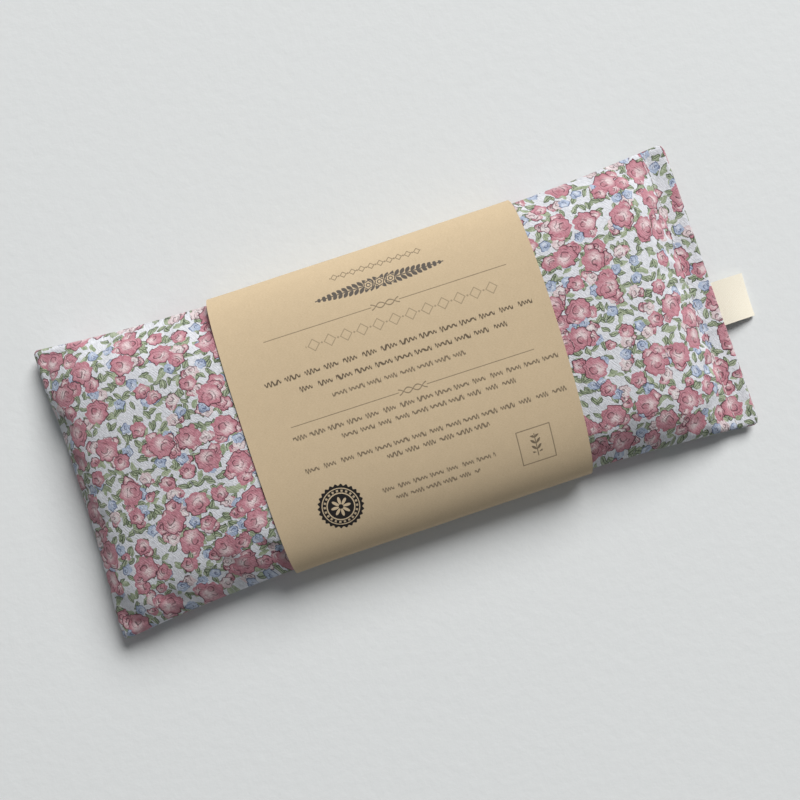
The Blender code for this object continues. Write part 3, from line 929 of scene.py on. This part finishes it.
def tapeMaterial():
    look = {k: tint(*c) for k, c in label.items() if isinstance(c, tuple)}
    made, start, shader = newMaterial("cottonTape", 0.9, Sheen_Weight=0.1, Specular_IOR_Level=0.2)
    flat = printPlane(start, "tape")
    u, v, _ = parts(flat)
    warp = grain(vector("MULTIPLY", flat, (0.7, 7.0, 1.0)), 1.0, 2.0, 0.6)
    twill = sine((u + abs((v / 1.9).math("FRACT") - 0.5) * 3.0) * 9.0)
    shaded = ease(warp, 0.35, 0.75) * 0.5 + 0.1 * ease(twill, 0.0, 1.0)
    colour = paint(look["cream"], look["shadeCream"], shaded)
    feed(start, shader, "Base Color", colour)
    feed(start, shader, "Roughness", 0.84 + 0.1 * warp)
    feed(start, shader, "Normal", bumpFrom(start, warp * 0.5 + twill * 0.25, 0.00018, 0.6))
    return made


def buildLabel(material):
    seamX = pillow["centre"] + half
    tip = highLabel.x
    z0 = seamHeight(half, label["middle"] / halfWidth(half))
    gap = label["gap"]

    def shareOut(x):
        return max(x - seamX, 0) / (tip - seamX)

    def sag(x):
        return label["droop"] * shareOut(x) ** 1.6

    line = []
    steps = 14
    inner, outer = seamX - label["inside"], tip - 0.6 * mm
    for k in range(steps + 1):
        x = inner + (outer - inner) * k / steps
        belly = 0.8 * math.sin(math.pi * min(shareOut(x), 1.0))
        line.append((x, z0 - sag(x) + gap * (0.5 + belly)))
    bend = [(outer + 0.5 * mm * math.sin(a), z0 - label["droop"] + gap * 0.6 * math.cos(a))
            for a in (0.5, 1.0, 1.57, 2.14, 2.64)]
    back = [(x, z - 2 * (z - z0 + sag(x))) for x, z in reversed(line)]
    path, run = evenly(line + bend + back, label["points"])
    low = label["middle"] - label["width"] / 2
    bm = drawnStrip(path, run, 1, low, label["width"], label["columns"], "tape",
                    lambda out, r: (r, out))
    for v in bm.verts:
        out = shareOut(v.co.x)
        v.co.z += 0.25 * mm * out * math.sin(v.co.y * 240)
        v.co.x += 0.35 * mm * out * math.sin(v.co.y * 150 + 1.0)
    piece = newPiece("sideLabel", bm, material)
    thicken(piece, label["tape"])
    return piece, run[-1]


sideLabel, tapeRun = buildLabel(tapeMaterial())
hinge = next(j for j in frame["joints"] if j["name"] == "label_flap")["pos_m"]
hinge[0] - 0.8 * mm
hinge[0] + 1.6 * mm
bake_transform(sideLabel)
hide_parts("label_loop", "label_tail_upper", "label_tail_lower")


print("threads")
stitching = {
    "length": 2.0 * mm, "pitch": 2.6 * mm, "thick": 0.28 * mm,
    "inside": 1.1 * mm,  # of the seam stitches from the cover's outline
    "seamRun": 0.54,  # round the three sewn sides
    "colour": (226, 220, 220), "shaded": (200, 196, 190),
}


def threadMaterial():
    made, start, shader = newMaterial("sewingThread", 0.6, Sheen_Weight=0.2)
    place = objectPlane(start)
    ply = place.make("ShaderNodeTexWave", {"bands_direction": "DIAGONAL"},
                     {"Vector": place, "Scale": 900.0, "Distortion": 1.0})
    colour = paint(tint(*stitching["colour"]), tint(*stitching["shaded"]), ply * 0.5)
    feed(start, shader, "Base Color", colour)
    feed(start, shader, "Normal", bumpFrom(start, ply, 0.0001, 0.5))
    return made


def coverHeight(x, y, fromAbove):
    start = Vector((x, y, 0.1 if fromAbove else -0.1))
    hit, place, _, _ = cover.ray_cast(start, Vector((0, 0, -1 if fromAbove else 1)))
    return place.z if hit else pillow["endEdge"]


def addStitch(bm, place, turn=0.0):
    made = bmesh.ops.create_uvsphere(bm, u_segments=8, v_segments=6, radius=0.5)
    shape = Matrix.Diagonal((stitching["thick"], stitching["length"], stitching["thick"], 1))
    stand = Matrix.Translation(place) @ Matrix.Rotation(turn, 4, "Z")
    bmesh.ops.transform(bm, matrix=stand @ shape, verts=made["verts"])


def closingStitches(fromAbove):
    bm = bmesh.new()
    x = pillow["centre"] + closingLine
    reach = pillow["endWidth"] / 2 - 2.5 * mm
    count = round(2 * reach / stitching["pitch"])
    for k in range(count):
        y = -reach + 2 * reach * (k + 0.5) / count
        z = coverHeight(x, y, fromAbove) + (0.08 if fromAbove else -0.08) * mm
        addStitch(bm, (x, y, z))
    return bm


def seamStitches():
    # inside the fold of the seam, down one long side, round the folded end and back
    inside = stitching["inside"]
    reach = closingLine / half
    shares = [(reach - (1 + reach) * k / 200, -1.0) for k in range(200)]
    shares += [(-1.0, -1.0 + k / 50) for k in range(100)]
    shares += [(-1.0 + (1 + reach) * k / 200, 1.0) for k in range(201)]
    line = []
    for sx, sy in shares:
        x, y = planPoint(sx, sy)
        x = max(x, inside - half)
        wide = halfWidth(x) - inside - 0.6 * mm * bandShare(x)
        line.append((x + inside * (sx == -1.0), min(max(y, -wide), wide)))
    path, _ = evenly(line, round(stitching["seamRun"] / stitching["pitch"]))
    bm = bmesh.new()
    for (x0, y0), (x1, y1) in zip(path, path[1:]):
        x, y = (x0 + x1) / 2, (y0 + y1) / 2
        addStitch(bm, (x + pillow["centre"], y, seamHeight(x, y / halfWidth(x))),
                  math.atan2(y1 - y0, x1 - x0) + math.pi / 2)
    return bm


threadLook = threadMaterial()
for name, bm, node in (("closingStitchesUpper", closingStitches(True), "closing_thread_upper"),
                       ("closingStitchesLower", closingStitches(False), "closing_thread_lower"),
                       ("seamStitches", seamStitches(), "seam_thread")):
    stitches = newPiece(name, bm, threadLook)
    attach(stitches, "pillow")
    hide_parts(node)


print("filling")
# how the filling is drawn in from the cover: shares of its length and width, and how far
# down and up at most
stuffing = {"smoothings": 5, "lengthwise": 0.966, "across": 0.935, "down": 1.2 * mm, "up": 0.9 * mm}


def seedMaterial(name, light, dark, scale):
    made, start, shader = newMaterial(name, 0.45)
    place = objectPlane(start)
    seeds = place.make("ShaderNodeTexVoronoi", {}, {"Vector": place, "Scale": scale})
    colour = paint(tint(*light), tint(*dark), parts(seeds.other("Color"))[0])
    feed(start, shader, "Base Color", colour)
    feed(start, shader, "Normal", bumpFrom(start, ease(seeds, 0.5, 0.0), 0.0008, 0.8))
    return made


def buildFilling(material):
    # the inside of the cover: drawn in all round, and in a little from above and below
    bm = bmesh.new()
    bm.from_mesh(cover.data)
    edge = pillow["centre"] + closingLine - 1.0 * mm
    bmesh.ops.delete(bm, geom=[v for v in bm.verts if v.co.x > edge], context="VERTS")
    bmesh.ops.holes_fill(bm, edges=[e for e in bm.edges if e.is_boundary], sides=0)
    for _ in range(stuffing["smoothings"]):
        bmesh.ops.smooth_vert(bm, verts=bm.verts, factor=0.5,
                              use_axis_x=True, use_axis_y=True, use_axis_z=True)
    middle = (edge + pillow["centre"] - half) / 2
    for v in bm.verts:
        x, y, z = v.co
        seam = seamHeight(x - pillow["centre"], y / halfWidth(x - pillow["centre"]))
        inward = max(min((seam - z) * 0.5, stuffing["down"]), -stuffing["up"])
        v.co = (middle + (x - middle) * stuffing["lengthwise"], y * stuffing["across"], z + inward)
    bmesh.ops.triangulate(bm, faces=[f for f in bm.faces if len(f.verts) > 4])
    return newPiece("seedFilling", bm, material)


linseed = seedMaterial("linseed", (142, 92, 48), (92, 52, 26), 420.0)
filling = buildFilling(linseed)
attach(filling, "pillow")
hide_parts("seed_filling")
lavender = seedMaterial("lavenderBuds", (126, 112, 160), (84, 74, 116), 900.0)
tapeLook, start, shader = newMaterial("clearTape", 0.3, Alpha=0.6)
haze = grain(objectPlane(start), 300.0)
feed(start, shader, "Base Color", paint(tint(225, 220, 205), tint(240, 238, 230), haze))
for name, node in frame["nodes"].items():
    if name.startswith("lavender_bud") or name == "band_tape":
        node.data.materials.clear()
        node.data.materials.append(tapeLook if name == "band_tape" else lavender)


print("room")
room = {
    "floor": (224, 227, 228), "floorHalf": 3.0,
    "sky": 0.155, "skyColour": (0.97, 0.985, 1.0),
    "window": 326.0, "windowSize": 3.0, "windowAt": (2.5, 3.0, 3.1), "windowColour": (1.0, 0.99, 0.975),
    "bounce": 0.4, "bounceSize": 1.4, "bounceAt": (-0.9, -0.9, 1.0),
    "cameraAt": (-7.0 * mm, -15.2 * mm, 300 * mm), "cameraTurn": (2.42, -0.48, -18.57), "lens": 40.2,
}


def floorMaterial():
    made, start, shader = newMaterial("paleTable", 0.9, Specular_IOR_Level=0.2)
    place = objectPlane(start)
    tooth = grain(place, 260.0, 3.0, 0.6)
    broad = grain(place, 6.0, 2.0)
    feed(start, shader, "Base Color", shade(tint(*room["floor"]), 0.975 + 0.035 * tooth + 0.015 * broad))
    feed(start, shader, "Normal", bumpFrom(start, tooth, 0.0003, 0.35))
    return made


bm = bmesh.new()
bmesh.ops.create_grid(bm, x_segments=1, y_segments=1, size=room["floorHalf"])
floor = newPiece("table", bm, floorMaterial(), smooth=False)


def addLamp(name, place, size, watts, colour):
    lamp = bpy.data.lights.new(name, "AREA")
    lamp.shape = "DISK"
    lamp.size = size
    lamp.energy = watts
    lamp.color = colour
    obj = bpy.data.objects.new(name, lamp)
    obj.location = place
    obj.rotation_mode = "QUATERNION"
    obj.rotation_quaternion = (-Vector(place)).to_track_quat("-Z", "Y")
    scene.collection.objects.link(obj)


addLamp("window", room["windowAt"], room["windowSize"], room["window"], room["windowColour"])
addLamp("bounce", room["bounceAt"], room["bounceSize"], room["bounce"], room["skyColour"])
world = bpy.data.worlds.new("room")
world.use_nodes = True
background = world.node_tree.nodes["Background"]
background.inputs["Color"].default_value = (*room["skyColour"], 1.0)
background.inputs["Strength"].default_value = room["sky"]
scene.world = world
scene.view_settings.view_transform = "Standard"

lens = bpy.data.cameras.new("camera")
lens.lens = room["lens"]
lens.clip_start = 0.01
camera = bpy.data.objects.new("camera", lens)
camera.location = Vector(room["cameraAt"]) + Vector((pillow["centre"], 0, 0))
camera.rotation_euler = [math.radians(a) for a in room["cameraTurn"]]
scene.collection.objects.link(camera)
scene.camera = camera
